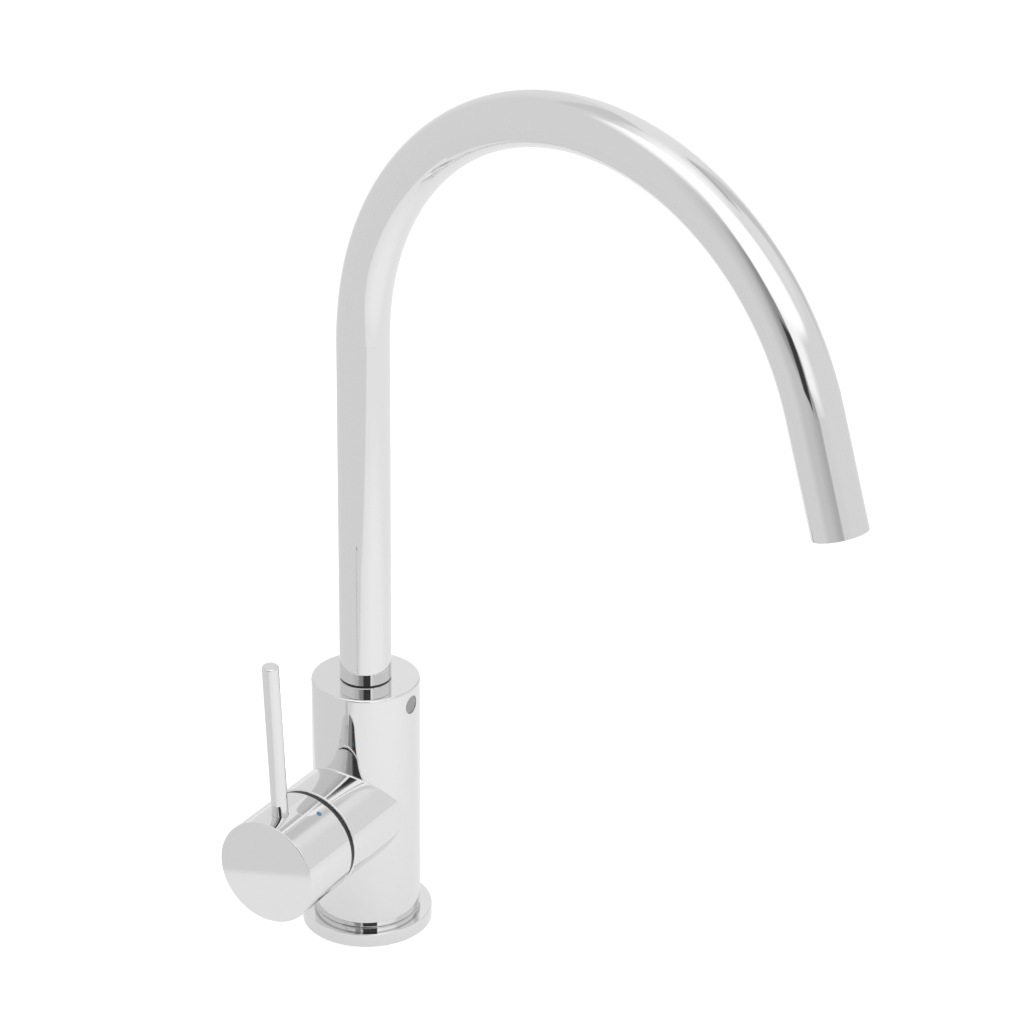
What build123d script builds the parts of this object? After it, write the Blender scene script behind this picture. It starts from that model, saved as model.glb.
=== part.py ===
from build123d import *
from math import asin, cos, degrees, radians, sin
import os

os.makedirs("parts", exist_ok=True)

# A tall swan neck kitchen tap that pours hot, cold and filtered water. One pin lever turns a ceramic
# cartridge in the side branch. The origin is the middle of the base, level with the worktop: +Z is up,
# -Y faces the user and -X points along the side branch. Sizes are in millimetres, angles in degrees.

# ---- Driving dimensions ----

# Column: the turned brass body that stands on the worktop
column_radius = 23.0
column_top = 116.5
column_edge = 0.9
neck_inset = 0.7
neck_height = 2.6
neck_edge = 0.8

# Base flange with its gasket
flange_radius = 28.0
flange_height = 6.0
flange_edge = 0.4
gasket_inset = 2.8
gasket_width = 2.4
gasket_depth = 1.5

# Hollow threaded shank through the worktop, M32 x 1.5
shank_radius = 16.0
shank_wall = 1.7
shank_drop = 62.0
shank_grip = 14.4
shank_end_gap = 0.2
shank_chamfer = 1.0

# Clamp under the worktop
worktop_thickness = 30.0
washer_radius = 26.0
rubber_washer_thickness = 3.0
steel_washer_thickness = 2.5
nut_across_flats = 41.0
nut_height = 9.0
nut_collar_height = 2.0
nut_collar_radius = 24.0

# Water inlets in the column's foot: hot and cold M10 x 1, filtered M8 x 1
inlet_thread_radius = 4.5
filtered_thread_radius = 3.5
inlet_thread_depth = 11.0
inlet_forward = 2.0
inlet_spread = 8.0
filtered_inlet_forward = 8.5
riser_radius = 2.75

# Side branch
branch_height = 58.6
branch_radius = 22.75
branch_reach = 43.5
branch_edge = 0.7
branch_root = 0.6

# 35 mm ceramic cartridge in the branch, measured outwards from the column's axis
cartridge_radius = 17.5
chamber_floor = 9.0
cartridge_base_thickness = 5.0
ceramic_thickness = 4.0
disc_clearance = 0.2
moving_disc_step = 0.5
port_radius = 2.25
port_seal_width = 1.25
port_seal_thickness = 1.25
supply_port_drop = 4.0
filtered_port_drop = 10.5
mixed_port = (-6.5, 7.0)
pure_port = (4.0, 8.0)
mixed_riser_back = 2.5
housing_setback = 10.5
housing_wall = 3.3
pocket_depth = 2.2

# Spindle that the lever turns
spindle_flange_radius = 12.5
spindle_flange_thickness = 3.0
spindle_radius = 6.0
spindle_square = 8.4
spindle_square_length = 13.0
peg_radius = 1.5
peg_length = 1.5
peg_spread = 9.0
lug_width = 4.8
lug_gap = 0.5
lever_travel = 90.0
spindle_seal_setback = 4.2
spindle_seal_section = 0.6
spindle_flange_gap = 0.2

# Cartridge nut and the dark ring that shows in the gap
cartridge_nut_step = 1.5
cartridge_nut_bore = 8.0
cartridge_nut_setback = 4.7
nut_slot_width = 4.0
nut_slot_depth = 2.0
cover_ring_inset = 1.05
cover_ring_bore = 16.5
cover_ring_lip = 1.9

# Handle hub and pin lever
hub_gap = 2.4
hub_length = 30.2
hub_edge = 0.5
hub_back_edge = 0.9
hub_wall = 3.15
hub_face = 3.0
hub_boss_radius = 10.0
hub_boss_setback = 3.0
lever_setback = 17.7
lever_lean = 4.15
lever_radius = 3.5
lever_top = 94.0
lever_crown = 0.8
lever_seat_depth = 8.55
lever_stub_radius = 2.5
lever_stub_length = 4.8
lever_boss_radius = 6.0
hub_screw_setback = 9.0
grub_radius = 2.5
grub_length = 5.0
grub_key = 2.5
grub_key_depth = 2.2
hub_plug_thickness = 1.8
index_setback = 6.9
index_angle = 28.7
index_radius = 1.1
index_thickness = 0.35

# Status window in the column's front
window_radius = 4.0
window_drop = 7.3
window_recess = 0.5
lens_thickness = 2.0
lens_seal_thickness = 0.8
lens_seal_wall = 1.0
holder_wall = 0.7
window_pocket_depth = 11.0
board_gap = 2.5
board_thickness = 1.0
lamp_radius = 1.5
lamp_height = 2.0
cable_way_left = 3.0
cable_way_radius = 1.2

# Spout: a round tube bent to a swan neck, drawn swung a little towards the lever
spout_swing = 12.0
spout_stop_angle = 75.0
tube_radius = 11.0
tube_wall = 1.5
bend_height = 271.3
bend_radius = 118.9
bend_angle = 161.7
outlet_length = 46.1
slip_ring_thickness = 0.4
slip_ring_inset = 0.2
collar_height = 5.6
collar_edge = 0.25
foot_plug_length = 12.0
foot_bore = 6.6

# Swivel socket in the column's top
socket_radius = 9.55
socket_depth = 35.5
spigot_length = 34.5
spigot_relief = 0.2
bush_length = 5.0
bush_wall = 0.95
bush_split = 1.0
lower_bush_setback = 2.0
upper_bush_drop = 7.5
seal_section = 1.8
seal_groove_width = 2.0
lower_seal_drop = 23.5
upper_seal_drop = 18.5

# Screw behind the column that keeps the spout in and stops its swing
retaining_screw_drop = 12.3
retaining_tip_radius = 2.0
retaining_tip_gap = 0.2
retaining_shoulder_wall = 0.95
retaining_screw_radius = 3.0
retaining_screw_length = 7.0
retaining_key = 3.0
retaining_key_depth = 3.0
retaining_groove_depth = 1.55
stop_overrun = 0.5
retaining_plug_thickness = 1.8
plug_recess = 0.2

# Inner tube that keeps filtered water apart
inner_tube_radius = 3.0
inner_tube_wall = 0.7
inner_tube_dip = 9.0
well_sump = 2.6
well_seal_drop = 4.5
well_seal_height = 1.8
well_seal_wall = 1.15

# Aerator in the spout's end, measured inwards from the end
aerator_recess = 0.3
aerator_length = 11.7
aerator_wall = 1.25
aerator_lip = 1.0
aerator_lip_width = 0.6
screen_thickness = 1.5
screen_hole_radius = 0.55
screen_edge = 0.9
screen_row_step = 1.3
screen_row_counts = (28, 22, 16)
insert_gap = 0.5
insert_slot_radius = 0.9
insert_slots = 12
aerator_washer_thickness = 1.5
aerator_washer_width = 2.9
nozzle_radius = 3.4
nozzle_bore = 2.0
nozzle_recess = 0.8
nozzle_socket_radius = 4.2
nozzle_socket_length = 8.0
nozzle_front_length = 9.0
nozzle_socket_shoulder = 1.0

# Fits
thread_clearance = 0.08
seat_clearance = 0.05
running_clearance = 0.05
well_clearance = 0.1
face_gap = 0.1
loose_clearance = 0.4

# ---- Places worked out from them ----

from_base = (Align.CENTER, Align.CENTER, Align.MIN)
column_bottom = flange_height + neck_height
neck_radius = column_radius - neck_inset
gasket_middle = flange_radius - gasket_inset
inlet_face = flange_height + shank_grip + shank_end_gap
socket_floor = column_top - socket_depth
bearing_radius = socket_radius - running_clearance
spigot_radius = bearing_radius - spigot_relief
bush_bore = bearing_radius - bush_wall
spigot_start = column_top - spigot_length
bush_starts = (spigot_start + lower_bush_setback, column_top - upper_bush_drop)
seal_stations = (column_top - lower_seal_drop, column_top - upper_seal_drop)
retaining_screw_height = column_top - retaining_screw_drop
retaining_groove_floor = socket_radius - retaining_groove_depth
retaining_tip_reach = retaining_groove_floor + retaining_tip_gap
retaining_shoulder = socket_radius + retaining_shoulder_wall
inner_tube_start = socket_floor - inner_tube_dip
well_floor = branch_height + pure_port[1] - well_sump
well_seal_start = socket_floor - well_seal_drop
well_seal_end = well_seal_start + well_seal_height
well_seal_radius = inner_tube_radius + well_seal_wall
fixed_disc_start = chamber_floor + cartridge_base_thickness
fixed_disc_end = fixed_disc_start + ceramic_thickness
moving_disc_start = fixed_disc_end + face_gap
moving_disc_end = moving_disc_start + ceramic_thickness
spindle_flange_end = moving_disc_end + spindle_flange_thickness
neck_bore_start = spindle_flange_end + spindle_flange_gap
housing_bore = cartridge_radius - housing_wall
housing_front = branch_reach - housing_setback
fixed_disc_radius = housing_bore - disc_clearance
moving_disc_radius = fixed_disc_radius - moving_disc_step
lug_reach = housing_bore - lug_gap
spindle_seal_station = housing_front - spindle_seal_setback
cartridge_nut_radius = cartridge_radius + cartridge_nut_step
cartridge_nut_end = branch_reach - cartridge_nut_setback
cover_ring_radius = branch_radius - cover_ring_inset
hub_radius = branch_radius
hub_start = branch_reach + hub_gap
hub_end = hub_start + hub_length
hub_inside = hub_end - hub_face
hub_bore = hub_radius - hub_wall
spindle_end = hub_start + spindle_square_length
lever_station = hub_start + lever_setback
lever_seat = hub_radius - lever_seat_depth
hub_screw_station = hub_start + hub_screw_setback
index_station = hub_start + index_setback
slip_ring_top = column_top + slip_ring_thickness
collar_start = slip_ring_top + face_gap
tube_start = collar_start + collar_height
tube_bore = tube_radius - tube_wall
worktop_underside = -worktop_thickness
clamp_top = worktop_underside - rubber_washer_thickness
nut_top = clamp_top - steel_washer_thickness - face_gap
washer_bore = shank_radius + loose_clearance
window_height = column_top - window_drop
window_pocket_floor = column_radius - window_pocket_depth
board_station = window_pocket_floor + board_gap
cable_way = (-cable_way_left, -window_pocket_floor - cable_way_radius / 2)
lens_front = column_radius - window_recess
lens_back = lens_front - lens_thickness
holder_front = lens_back - lens_seal_thickness
holder_back = board_station + board_thickness

# Axes that pieces are turned about: out along the branch, up the lever, to the front and to the back
branch = Plane(origin=(0, 0, branch_height), x_dir=(0, -1, 0), z_dir=(-1, 0, 0))
lean = radians(lever_lean)
lever_axis = Plane(
    origin=(-lever_station, 0, branch_height), x_dir=(0, -1, 0), z_dir=(-sin(lean), 0, cos(lean)),
)
hub_screw_axis = Plane(origin=(-hub_screw_station, 0, branch_height), x_dir=(0, -1, 0), z_dir=(0, 0, -1))
mark_turn = radians(index_angle)
mark_middle = (-index_station, 0, branch_height)
cold_axis = Plane(origin=mark_middle, x_dir=(-1, 0, 0), z_dir=(0, -sin(mark_turn), cos(mark_turn)))
hot_axis = Plane(origin=mark_middle, x_dir=(-1, 0, 0), z_dir=(0, sin(mark_turn), cos(mark_turn)))
window_axis = Plane(origin=(0, 0, window_height), x_dir=(1, 0, 0), z_dir=(0, -1, 0))
retaining_axis = Plane(origin=(0, 0, retaining_screw_height), x_dir=(1, 0, 0), z_dir=(0, 1, 0))

# The upright plane of the spout: x runs outwards over the sink, y runs up
swing = radians(spout_swing)
spout_side = Plane(origin=(0, 0, 0), x_dir=(-sin(swing), -cos(swing), 0), z_dir=(-cos(swing), sin(swing), 0))
end_angle = radians(180 - bend_angle)
bend_end = (bend_radius * (1 + cos(end_angle)), bend_height + bend_radius * sin(end_angle))
outlet_slope = (sin(end_angle), -cos(end_angle))
outlet_end = (bend_end[0] + outlet_length * outlet_slope[0], bend_end[1] + outlet_length * outlet_slope[1])
outlet_direction = spout_side.x_dir * outlet_slope[0] + spout_side.y_dir * outlet_slope[1]
outlet = Plane(
    origin=spout_side.from_local_coords((outlet_end[0], outlet_end[1], 0)),
    x_dir=spout_side.z_dir,
    z_dir=outlet_direction,
)

# Where the five waterways open, and where three of them come in from below
hot_inlet = (inlet_forward, inlet_spread)
cold_inlet = (inlet_forward, -inlet_spread)
filtered_inlet = (filtered_inlet_forward, 0)
hot_port = (-inlet_spread, -supply_port_drop)
cold_port = (inlet_spread, -supply_port_drop)
filtered_port = (0, -filtered_port_drop)
ports = (hot_port, cold_port, filtered_port, mixed_port, pure_port)


def rod(start, end, radius, mode=Mode.ADD):
    """A round length about the current axis."""
    with Locations((0, 0, start)):
        Cylinder(radius, end - start, align=from_base, mode=mode)


def bore(start, end, radius):
    """A round hole about the current axis."""
    rod(start, end, radius, Mode.SUBTRACT)


def ring(start, end, outer, inner):
    """A plain ring about the current axis."""
    rod(start, end, outer)
    bore(start, end, inner)


def groove(start, end, outer, floor):
    """A groove turned into the outside of a solid length."""
    bore(start, end, outer + loose_clearance)
    rod(start, end, floor)


def spout_path(start, end_gap):
    """The middle line of the spout, from a height up to a distance short of its end."""
    stop = outlet_length - end_gap
    Line((0, start), (0, bend_height))
    CenterArc((bend_radius, bend_height), bend_radius, 180, -bend_angle)
    Line(bend_end, (bend_end[0] + stop * outlet_slope[0], bend_end[1] + stop * outlet_slope[1]))


# ---- The column and what stands it on the worktop ----

# Column and branch: one brass casting, bored for the shank, the cartridge, the spout and the waterways
with BuildPart() as body_shell:
    rod(flange_height, column_bottom, neck_radius)
    fillet(body_shell.edges().sort_by(Axis.Z)[0], neck_edge)
    rod(column_bottom, column_top, column_radius)
    fillet(body_shell.edges().sort_by(Axis.Z)[-1], column_edge)
    with Locations(branch):
        rod(0, branch_reach, branch_radius)
    fillet(body_shell.edges().filter_by(GeomType.CIRCLE).sort_by(Axis.X)[0], branch_edge)
    straight_or_round = (GeomType.LINE, GeomType.CIRCLE)
    root_edge = body_shell.edges().filter_by(lambda edge: edge.geom_type not in straight_or_round)
    fillet(root_edge, branch_root)
    bore(flange_height, inlet_face, shank_radius + thread_clearance)
    with Locations(hot_inlet, cold_inlet):
        bore(inlet_face, inlet_face + inlet_thread_depth, inlet_thread_radius)
        bore(inlet_face, branch_height - supply_port_drop, riser_radius)
    with Locations(filtered_inlet):
        bore(inlet_face, inlet_face + inlet_thread_depth, filtered_thread_radius)
        bore(inlet_face, branch_height - filtered_port_drop, riser_radius)
    with Locations(branch):
        bore(chamber_floor, branch_reach, cartridge_radius + seat_clearance)
        bore(housing_front, branch_reach, cartridge_nut_radius + thread_clearance)
        with Locations(hot_port, cold_port):
            bore(-inlet_forward, chamber_floor, port_radius)
        with Locations(filtered_port):
            bore(-filtered_inlet_forward, chamber_floor, port_radius)
        with Locations(mixed_port):
            bore(mixed_riser_back, chamber_floor, port_radius)
        with Locations(pure_port):
            bore(0, chamber_floor, port_radius)
    with Locations((-mixed_riser_back, -mixed_port[0])):
        bore(branch_height + mixed_port[1], socket_floor, port_radius)
    bore(well_floor, socket_floor, inner_tube_radius + well_clearance)
    bore(well_seal_start, well_seal_end, well_seal_radius + seat_clearance)
    bore(socket_floor, column_top, socket_radius)
    with Locations(retaining_axis):
        bore(0, retaining_shoulder, retaining_tip_radius + thread_clearance)
        bore(retaining_shoulder, column_radius, retaining_screw_radius + thread_clearance)
    with Locations(window_axis):
        bore(window_pocket_floor, column_radius, window_radius)
    with Locations(cable_way):
        bore(inlet_face, window_height, cable_way_radius)
body_shell.part.label = "body_shell"
export_step(body_shell.part, "parts/body_shell.step")

# Flange: a turned ring that the column stands on, grooved underneath for its gasket
with BuildPart() as base_flange:
    rod(0, flange_height, flange_radius)
    fillet(base_flange.edges().sort_by(Axis.Z)[-1], flange_edge)
    bore(0, flange_height, shank_radius + loose_clearance)
    with BuildSketch(Plane.XY):
        Circle(gasket_middle + gasket_width / 2)
        Circle(gasket_middle - gasket_width / 2, mode=Mode.SUBTRACT)
    extrude(amount=gasket_depth, mode=Mode.SUBTRACT)
base_flange.part.label = "base_flange"
export_step(base_flange.part, "parts/base_flange.step")

gasket_outer = gasket_middle + gasket_width / 2 - seat_clearance
gasket_inner = gasket_middle - gasket_width / 2 + seat_clearance
with BuildPart() as base_gasket:
    ring(0, gasket_depth, gasket_outer, gasket_inner)
base_gasket.part.label = "base_gasket"
export_step(base_gasket.part, "parts/base_gasket.step")

# Shank: screwed up into the column, open all the way for the hoses and the lamp's cable
with BuildPart() as threaded_shank:
    rod(-shank_drop, inlet_face - shank_end_gap, shank_radius)
    chamfer(threaded_shank.edges().filter_by(GeomType.CIRCLE).sort_by(Axis.Z)[0], shank_chamfer)
    bore(-shank_drop, inlet_face - shank_end_gap, shank_radius - shank_wall)
threaded_shank.part.label = "threaded_shank"
export_step(threaded_shank.part, "parts/threaded_shank.step")

with BuildPart() as clamp_rubber_washer:
    ring(clamp_top, worktop_underside, washer_radius, washer_bore)
clamp_rubber_washer.part.label = "clamp_rubber_washer"
export_step(clamp_rubber_washer.part, "parts/clamp_rubber_washer.step")

with BuildPart() as clamp_steel_washer:
    ring(clamp_top - steel_washer_thickness, clamp_top, washer_radius, washer_bore)
clamp_steel_washer.part.label = "clamp_steel_washer"
export_step(clamp_steel_washer.part, "parts/clamp_steel_washer.step")

# Clamp nut: a brass hexagon with a round collar that bears on the steel washer
with BuildPart() as clamp_nut:
    with BuildSketch(Plane.XY.offset(nut_top - nut_height)):
        RegularPolygon(nut_across_flats / 2, 6, major_radius=False)
    extrude(amount=nut_height - nut_collar_height)
    rod(nut_top - nut_collar_height, nut_top, nut_collar_radius)
    bore(nut_top - nut_height, nut_top, shank_radius + thread_clearance)
clamp_nut.part.label = "clamp_nut"
export_step(clamp_nut.part, "parts/clamp_nut.step")

# ---- The status window ----

window_fit = window_radius - seat_clearance
with BuildPart() as indicator_lens:
    with Locations(window_axis):
        rod(lens_back, lens_front, window_fit)
indicator_lens.part.label = "indicator_lens"
export_step(indicator_lens.part, "parts/indicator_lens.step")

with BuildPart() as indicator_seal:
    with Locations(window_axis):
        ring(holder_front, lens_back, window_fit, window_fit - lens_seal_wall)
indicator_seal.part.label = "indicator_seal"
export_step(indicator_seal.part, "parts/indicator_seal.step")

with BuildPart() as indicator_holder:
    with Locations(window_axis):
        ring(holder_back, holder_front, window_fit, window_fit - holder_wall)
indicator_holder.part.label = "indicator_holder"
export_step(indicator_holder.part, "parts/indicator_holder.step")

with BuildPart() as indicator_board:
    with Locations(window_axis):
        rod(board_station, holder_back, window_fit)
indicator_board.part.label = "indicator_board"
export_step(indicator_board.part, "parts/indicator_board.step")

# Lamp: a small domed diode soldered on the board
with BuildPart() as indicator_lamp:
    with Locations(window_axis):
        rod(holder_back, holder_back + lamp_height, lamp_radius)
    fillet(indicator_lamp.edges().filter_by(GeomType.CIRCLE).sort_by(Axis.Y)[0], lamp_radius / 2)
indicator_lamp.part.label = "indicator_lamp"
export_step(indicator_lamp.part, "parts/indicator_lamp.step")

# ---- The cartridge in the branch ----

port_seal_radius = port_radius + port_seal_width
port_seal_end = chamber_floor + port_seal_thickness
with BuildPart() as cartridge_base:
    with Locations(branch):
        rod(chamber_floor, fixed_disc_start, cartridge_radius)
        with Locations(*ports):
            bore(chamber_floor, fixed_disc_start, port_radius)
            bore(chamber_floor, port_seal_end, port_seal_radius + seat_clearance)
cartridge_base.part.label = "cartridge_base"
export_step(cartridge_base.part, "parts/cartridge_base.step")

# One rubber ring round each of the five ports
with BuildPart() as cartridge_port_seals:
    with Locations(branch):
        with Locations(*ports):
            ring(chamber_floor, port_seal_end, port_seal_radius, port_radius)
cartridge_port_seals.part.label = "cartridge_port_seals"
export_step(cartridge_port_seals.part, "parts/cartridge_port_seals.step")

with BuildPart() as fixed_ceramic_disc:
    with Locations(branch):
        rod(fixed_disc_start, fixed_disc_end, fixed_disc_radius)
        with Locations(*ports):
            bore(fixed_disc_start, fixed_disc_end, port_radius)
fixed_ceramic_disc.part.label = "fixed_ceramic_disc"
export_step(fixed_ceramic_disc.part, "parts/fixed_ceramic_disc.step")

# Moving disc: two pockets in its face join the ports, two blind holes take the spindle's pegs
with BuildPart() as moving_ceramic_disc:
    with Locations(branch):
        rod(moving_disc_start, moving_disc_end, moving_disc_radius)
        with Locations((peg_spread, 0), (-peg_spread, 0)):
            bore(moving_disc_end - peg_length - face_gap, moving_disc_end, peg_radius + seat_clearance)
    with BuildSketch(branch.offset(moving_disc_start)):
        with Locations((0, peg_spread / 2)):
            SlotOverall(2 * peg_spread, 2 * port_radius)
        with Locations((0, -peg_spread / 2)):
            SlotOverall(2 * peg_spread, 2 * port_radius)
    extrude(amount=pocket_depth, mode=Mode.SUBTRACT)
moving_ceramic_disc.part.label = "moving_ceramic_disc"
export_step(moving_ceramic_disc.part, "parts/moving_ceramic_disc.step")

# Housing: a cup over the discs. Below the spindle's lug it is narrower, which stops the lever both ways
lug_level = moving_disc_end + spindle_flange_gap
stop_bore = spindle_flange_radius + loose_clearance
stop_angle = lever_travel + degrees(asin(lug_width / 2 / stop_bore)) + stop_overrun
stop_edge = radians(90 - stop_angle)
stop_x = 2 * cartridge_radius * cos(stop_edge)
stop_y = 2 * cartridge_radius * sin(stop_edge)
with BuildPart() as cartridge_housing:
    with Locations(branch):
        rod(fixed_disc_start, housing_front, cartridge_radius)
        bore(fixed_disc_start, lug_level, housing_bore)
        bore(lug_level, neck_bore_start, stop_bore)
        bore(neck_bore_start, housing_front, spindle_radius + running_clearance)
    with BuildSketch(branch.offset(lug_level)):
        Circle(housing_bore)
        Polygon(
            (0, 0), (stop_x, stop_y), (stop_x, -2 * cartridge_radius), (-stop_x, -2 * cartridge_radius),
            (-stop_x, stop_y), align=None, mode=Mode.SUBTRACT,
        )
    extrude(amount=neck_bore_start - lug_level, mode=Mode.SUBTRACT)
cartridge_housing.part.label = "cartridge_housing"
export_step(cartridge_housing.part, "parts/cartridge_housing.step")

# Spindle: a flange with pegs and a stop lug, a round stem and a square end for the hub
seal_groove_floor = spindle_radius - 2 * spindle_seal_section - seat_clearance
seal_half_groove = spindle_seal_section + seat_clearance
with BuildPart() as cartridge_spindle:
    with Locations(branch):
        rod(moving_disc_end, spindle_flange_end, spindle_flange_radius)
        with Locations((0, (lug_reach + spindle_radius) / 2, lug_level + face_gap)):
            lug_thickness = spindle_flange_end - lug_level - face_gap
            Box(lug_width, lug_reach - spindle_radius, lug_thickness, align=from_base)
        with Locations((peg_spread, 0), (-peg_spread, 0)):
            rod(moving_disc_end - peg_length, moving_disc_end, peg_radius)
        rod(spindle_flange_end, hub_start, spindle_radius)
        groove(
            spindle_seal_station - seal_half_groove, spindle_seal_station + seal_half_groove,
            spindle_radius, seal_groove_floor,
        )
        with Locations((0, 0, hub_start)):
            Box(spindle_square, spindle_square, spindle_square_length, align=from_base)
cartridge_spindle.part.label = "cartridge_spindle"
export_step(cartridge_spindle.part, "parts/cartridge_spindle.step")

with BuildPart() as spindle_seal:
    with Locations(branch.offset(spindle_seal_station)):
        Torus(spindle_radius - spindle_seal_section, spindle_seal_section)
spindle_seal.part.label = "spindle_seal"
export_step(spindle_seal.part, "parts/spindle_seal.step")

# Cartridge nut: a flat threaded ring with four slots for its spanner
with BuildPart() as cartridge_nut:
    with Locations(branch):
        ring(housing_front, cartridge_nut_end, cartridge_nut_radius, cartridge_nut_bore)
        with PolarLocations((cartridge_nut_bore + cartridge_nut_radius) / 2, 4):
            with Locations((0, 0, cartridge_nut_end - nut_slot_depth)):
                Box(nut_slot_width, nut_slot_width, nut_slot_depth, align=from_base, mode=Mode.SUBTRACT)
cartridge_nut.part.label = "cartridge_nut"
export_step(cartridge_nut.part, "parts/cartridge_nut.step")

# Cover ring: pressed into the branch's mouth, its lip shows in the gap behind the hub
with BuildPart() as branch_cover_ring:
    with Locations(branch):
        ring(cartridge_nut_end + face_gap, branch_reach, cartridge_nut_radius, cover_ring_bore)
        rod(branch_reach, branch_reach + cover_ring_lip, cover_ring_radius)
        bore(branch_reach, branch_reach + cover_ring_lip, cover_ring_bore)
branch_cover_ring.part.label = "branch_cover_ring"
export_step(branch_cover_ring.part, "parts/branch_cover_ring.step")

# ---- The handle ----

# Hub: a turned cap with a square socket for the spindle and a boss for the pin lever
boss_start = hub_start + hub_boss_setback
square_socket = spindle_square + 2 * seat_clearance
with BuildPart() as handle_hub:
    with Locations(branch):
        rod(hub_start, hub_end, hub_radius)
    fillet(handle_hub.edges().filter_by(GeomType.CIRCLE).sort_by(Axis.X)[0], hub_edge)
    fillet(handle_hub.edges().filter_by(GeomType.CIRCLE).sort_by(Axis.X)[-1], hub_back_edge)
    with Locations(branch):
        bore(hub_start, hub_inside, hub_bore)
        rod(boss_start, hub_inside, hub_boss_radius)
    with Locations(lever_axis):
        rod(0, hub_bore + hub_wall / 2, lever_boss_radius)
    with Locations(branch):
        with Locations((0, 0, boss_start)):
            socket_length = spindle_end + face_gap - boss_start
            Box(square_socket, square_socket, socket_length, align=from_base, mode=Mode.SUBTRACT)
    with Locations(lever_axis):
        bore(lever_seat, hub_radius + lever_radius, lever_radius + seat_clearance)
        bore(lever_seat - lever_stub_length, lever_seat, lever_stub_radius + seat_clearance)
    with Locations(hub_screw_axis):
        bore(0, hub_radius + grub_radius, grub_radius + seat_clearance)
    with Locations(cold_axis, hot_axis):
        bore(hub_radius - plug_recess - index_thickness, hub_radius, index_radius + seat_clearance)
handle_hub.part.label = "handle_hub"
export_step(handle_hub.part, "parts/handle_hub.step")

# Pin lever: a plain round bar with a crowned end, screwed into the hub
with BuildPart() as pin_lever:
    with Locations(lever_axis):
        rod(lever_seat, lever_top, lever_radius)
    fillet(pin_lever.edges().filter_by(GeomType.CIRCLE).sort_by(Axis.Z)[-1], lever_crown)
    with Locations(lever_axis):
        rod(lever_seat - lever_stub_length + face_gap, lever_seat, lever_stub_radius)
pin_lever.part.label = "pin_lever"
export_step(pin_lever.part, "parts/pin_lever.step")

grub_start = square_socket / 2
with BuildPart() as hub_grub_screw:
    with Locations(hub_screw_axis):
        rod(grub_start, grub_start + grub_length, grub_radius)
    with BuildSketch(hub_screw_axis.offset(grub_start + grub_length)):
        RegularPolygon(grub_key / 2, 6, major_radius=False)
    extrude(amount=-grub_key_depth, mode=Mode.SUBTRACT)
hub_grub_screw.part.label = "hub_grub_screw"
export_step(hub_grub_screw.part, "parts/hub_grub_screw.step")

with BuildPart() as hub_screw_plug:
    with Locations(hub_screw_axis):
        rod(hub_radius - plug_recess - hub_plug_thickness, hub_radius - plug_recess, grub_radius)
hub_screw_plug.part.label = "hub_screw_plug"
export_step(hub_screw_plug.part, "parts/hub_screw_plug.step")

# Two small enamel marks let into the hub beside the gap: blue to the user, red behind the lever
with BuildPart() as index_dot_blue:
    with Locations(cold_axis):
        rod(hub_radius - plug_recess - index_thickness, hub_radius - plug_recess / 2, index_radius)
index_dot_blue.part.label = "index_dot_blue"
export_step(index_dot_blue.part, "parts/index_dot_blue.step")

with BuildPart() as index_dot_red:
    with Locations(hot_axis):
        rod(hub_radius - plug_recess - index_thickness, hub_radius - plug_recess / 2, index_radius)
index_dot_red.part.label = "index_dot_red"
export_step(index_dot_red.part, "parts/index_dot_red.step")

# ---- The swivelling spout ----

with BuildPart() as spout_slip_ring:
    ring(column_top, slip_ring_top, tube_radius - slip_ring_inset, socket_radius)
spout_slip_ring.part.label = "spout_slip_ring"
export_step(spout_slip_ring.part, "parts/spout_slip_ring.step")

# Foot: a collar as wide as the tube, a plug that the tube is soldered on and a spigot with its grooves
seal_floor = bearing_radius - seal_section
tip_half_angle = degrees(asin(retaining_tip_radius / retaining_groove_floor))
groove_half_angle = spout_stop_angle + tip_half_angle + stop_overrun
groove_start = radians(90 - spout_swing - groove_half_angle)
groove_plane = Plane(
    origin=(0, 0, retaining_screw_height), x_dir=(cos(groove_start), sin(groove_start), 0),
    z_dir=(sin(groove_start), -cos(groove_start), 0),
)
with BuildPart() as spout_foot:
    rod(collar_start, tube_start, tube_radius)
    chamfer(spout_foot.edges().filter_by(GeomType.CIRCLE), collar_edge)
    rod(tube_start, tube_start + foot_plug_length, tube_bore - seat_clearance)
    rod(spigot_start, collar_start, spigot_radius)
    for bush_start in bush_starts:
        groove(bush_start, bush_start + bush_length, spigot_radius, bush_bore - seat_clearance)
    for station in seal_stations:
        groove(station - seal_groove_width / 2, station + seal_groove_width / 2, spigot_radius, seal_floor)
    bore(spigot_start, tube_start + foot_plug_length, foot_bore)
    with BuildSketch(groove_plane):
        with Locations(((retaining_groove_floor + socket_radius) / 2, 0)):
            Rectangle(socket_radius - retaining_groove_floor, 2 * (retaining_tip_radius + running_clearance))
    revolve(axis=Axis.Z, revolution_arc=2 * groove_half_angle, mode=Mode.SUBTRACT)
spout_foot.part.label = "spout_foot"
export_step(spout_foot.part, "parts/spout_foot.step")

# Two split plastic bushes carry the spigot in its socket
with BuildPart() as swivel_bushes:
    for bush_start in bush_starts:
        ring(bush_start + face_gap, bush_start + bush_length - face_gap, bearing_radius, bush_bore)
    with Locations((socket_radius, 0, spigot_start)):
        Box(2 * socket_radius, bush_split, spigot_length, align=from_base, mode=Mode.SUBTRACT)
swivel_bushes.part.label = "swivel_bushes"
export_step(swivel_bushes.part, "parts/swivel_bushes.step")

with BuildPart() as spout_seals:
    for station in seal_stations:
        with Locations((0, 0, station)):
            Torus(bearing_radius - seal_section / 2, seal_section / 2)
spout_seals.part.label = "spout_seals"
export_step(spout_seals.part, "parts/spout_seals.step")

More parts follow.
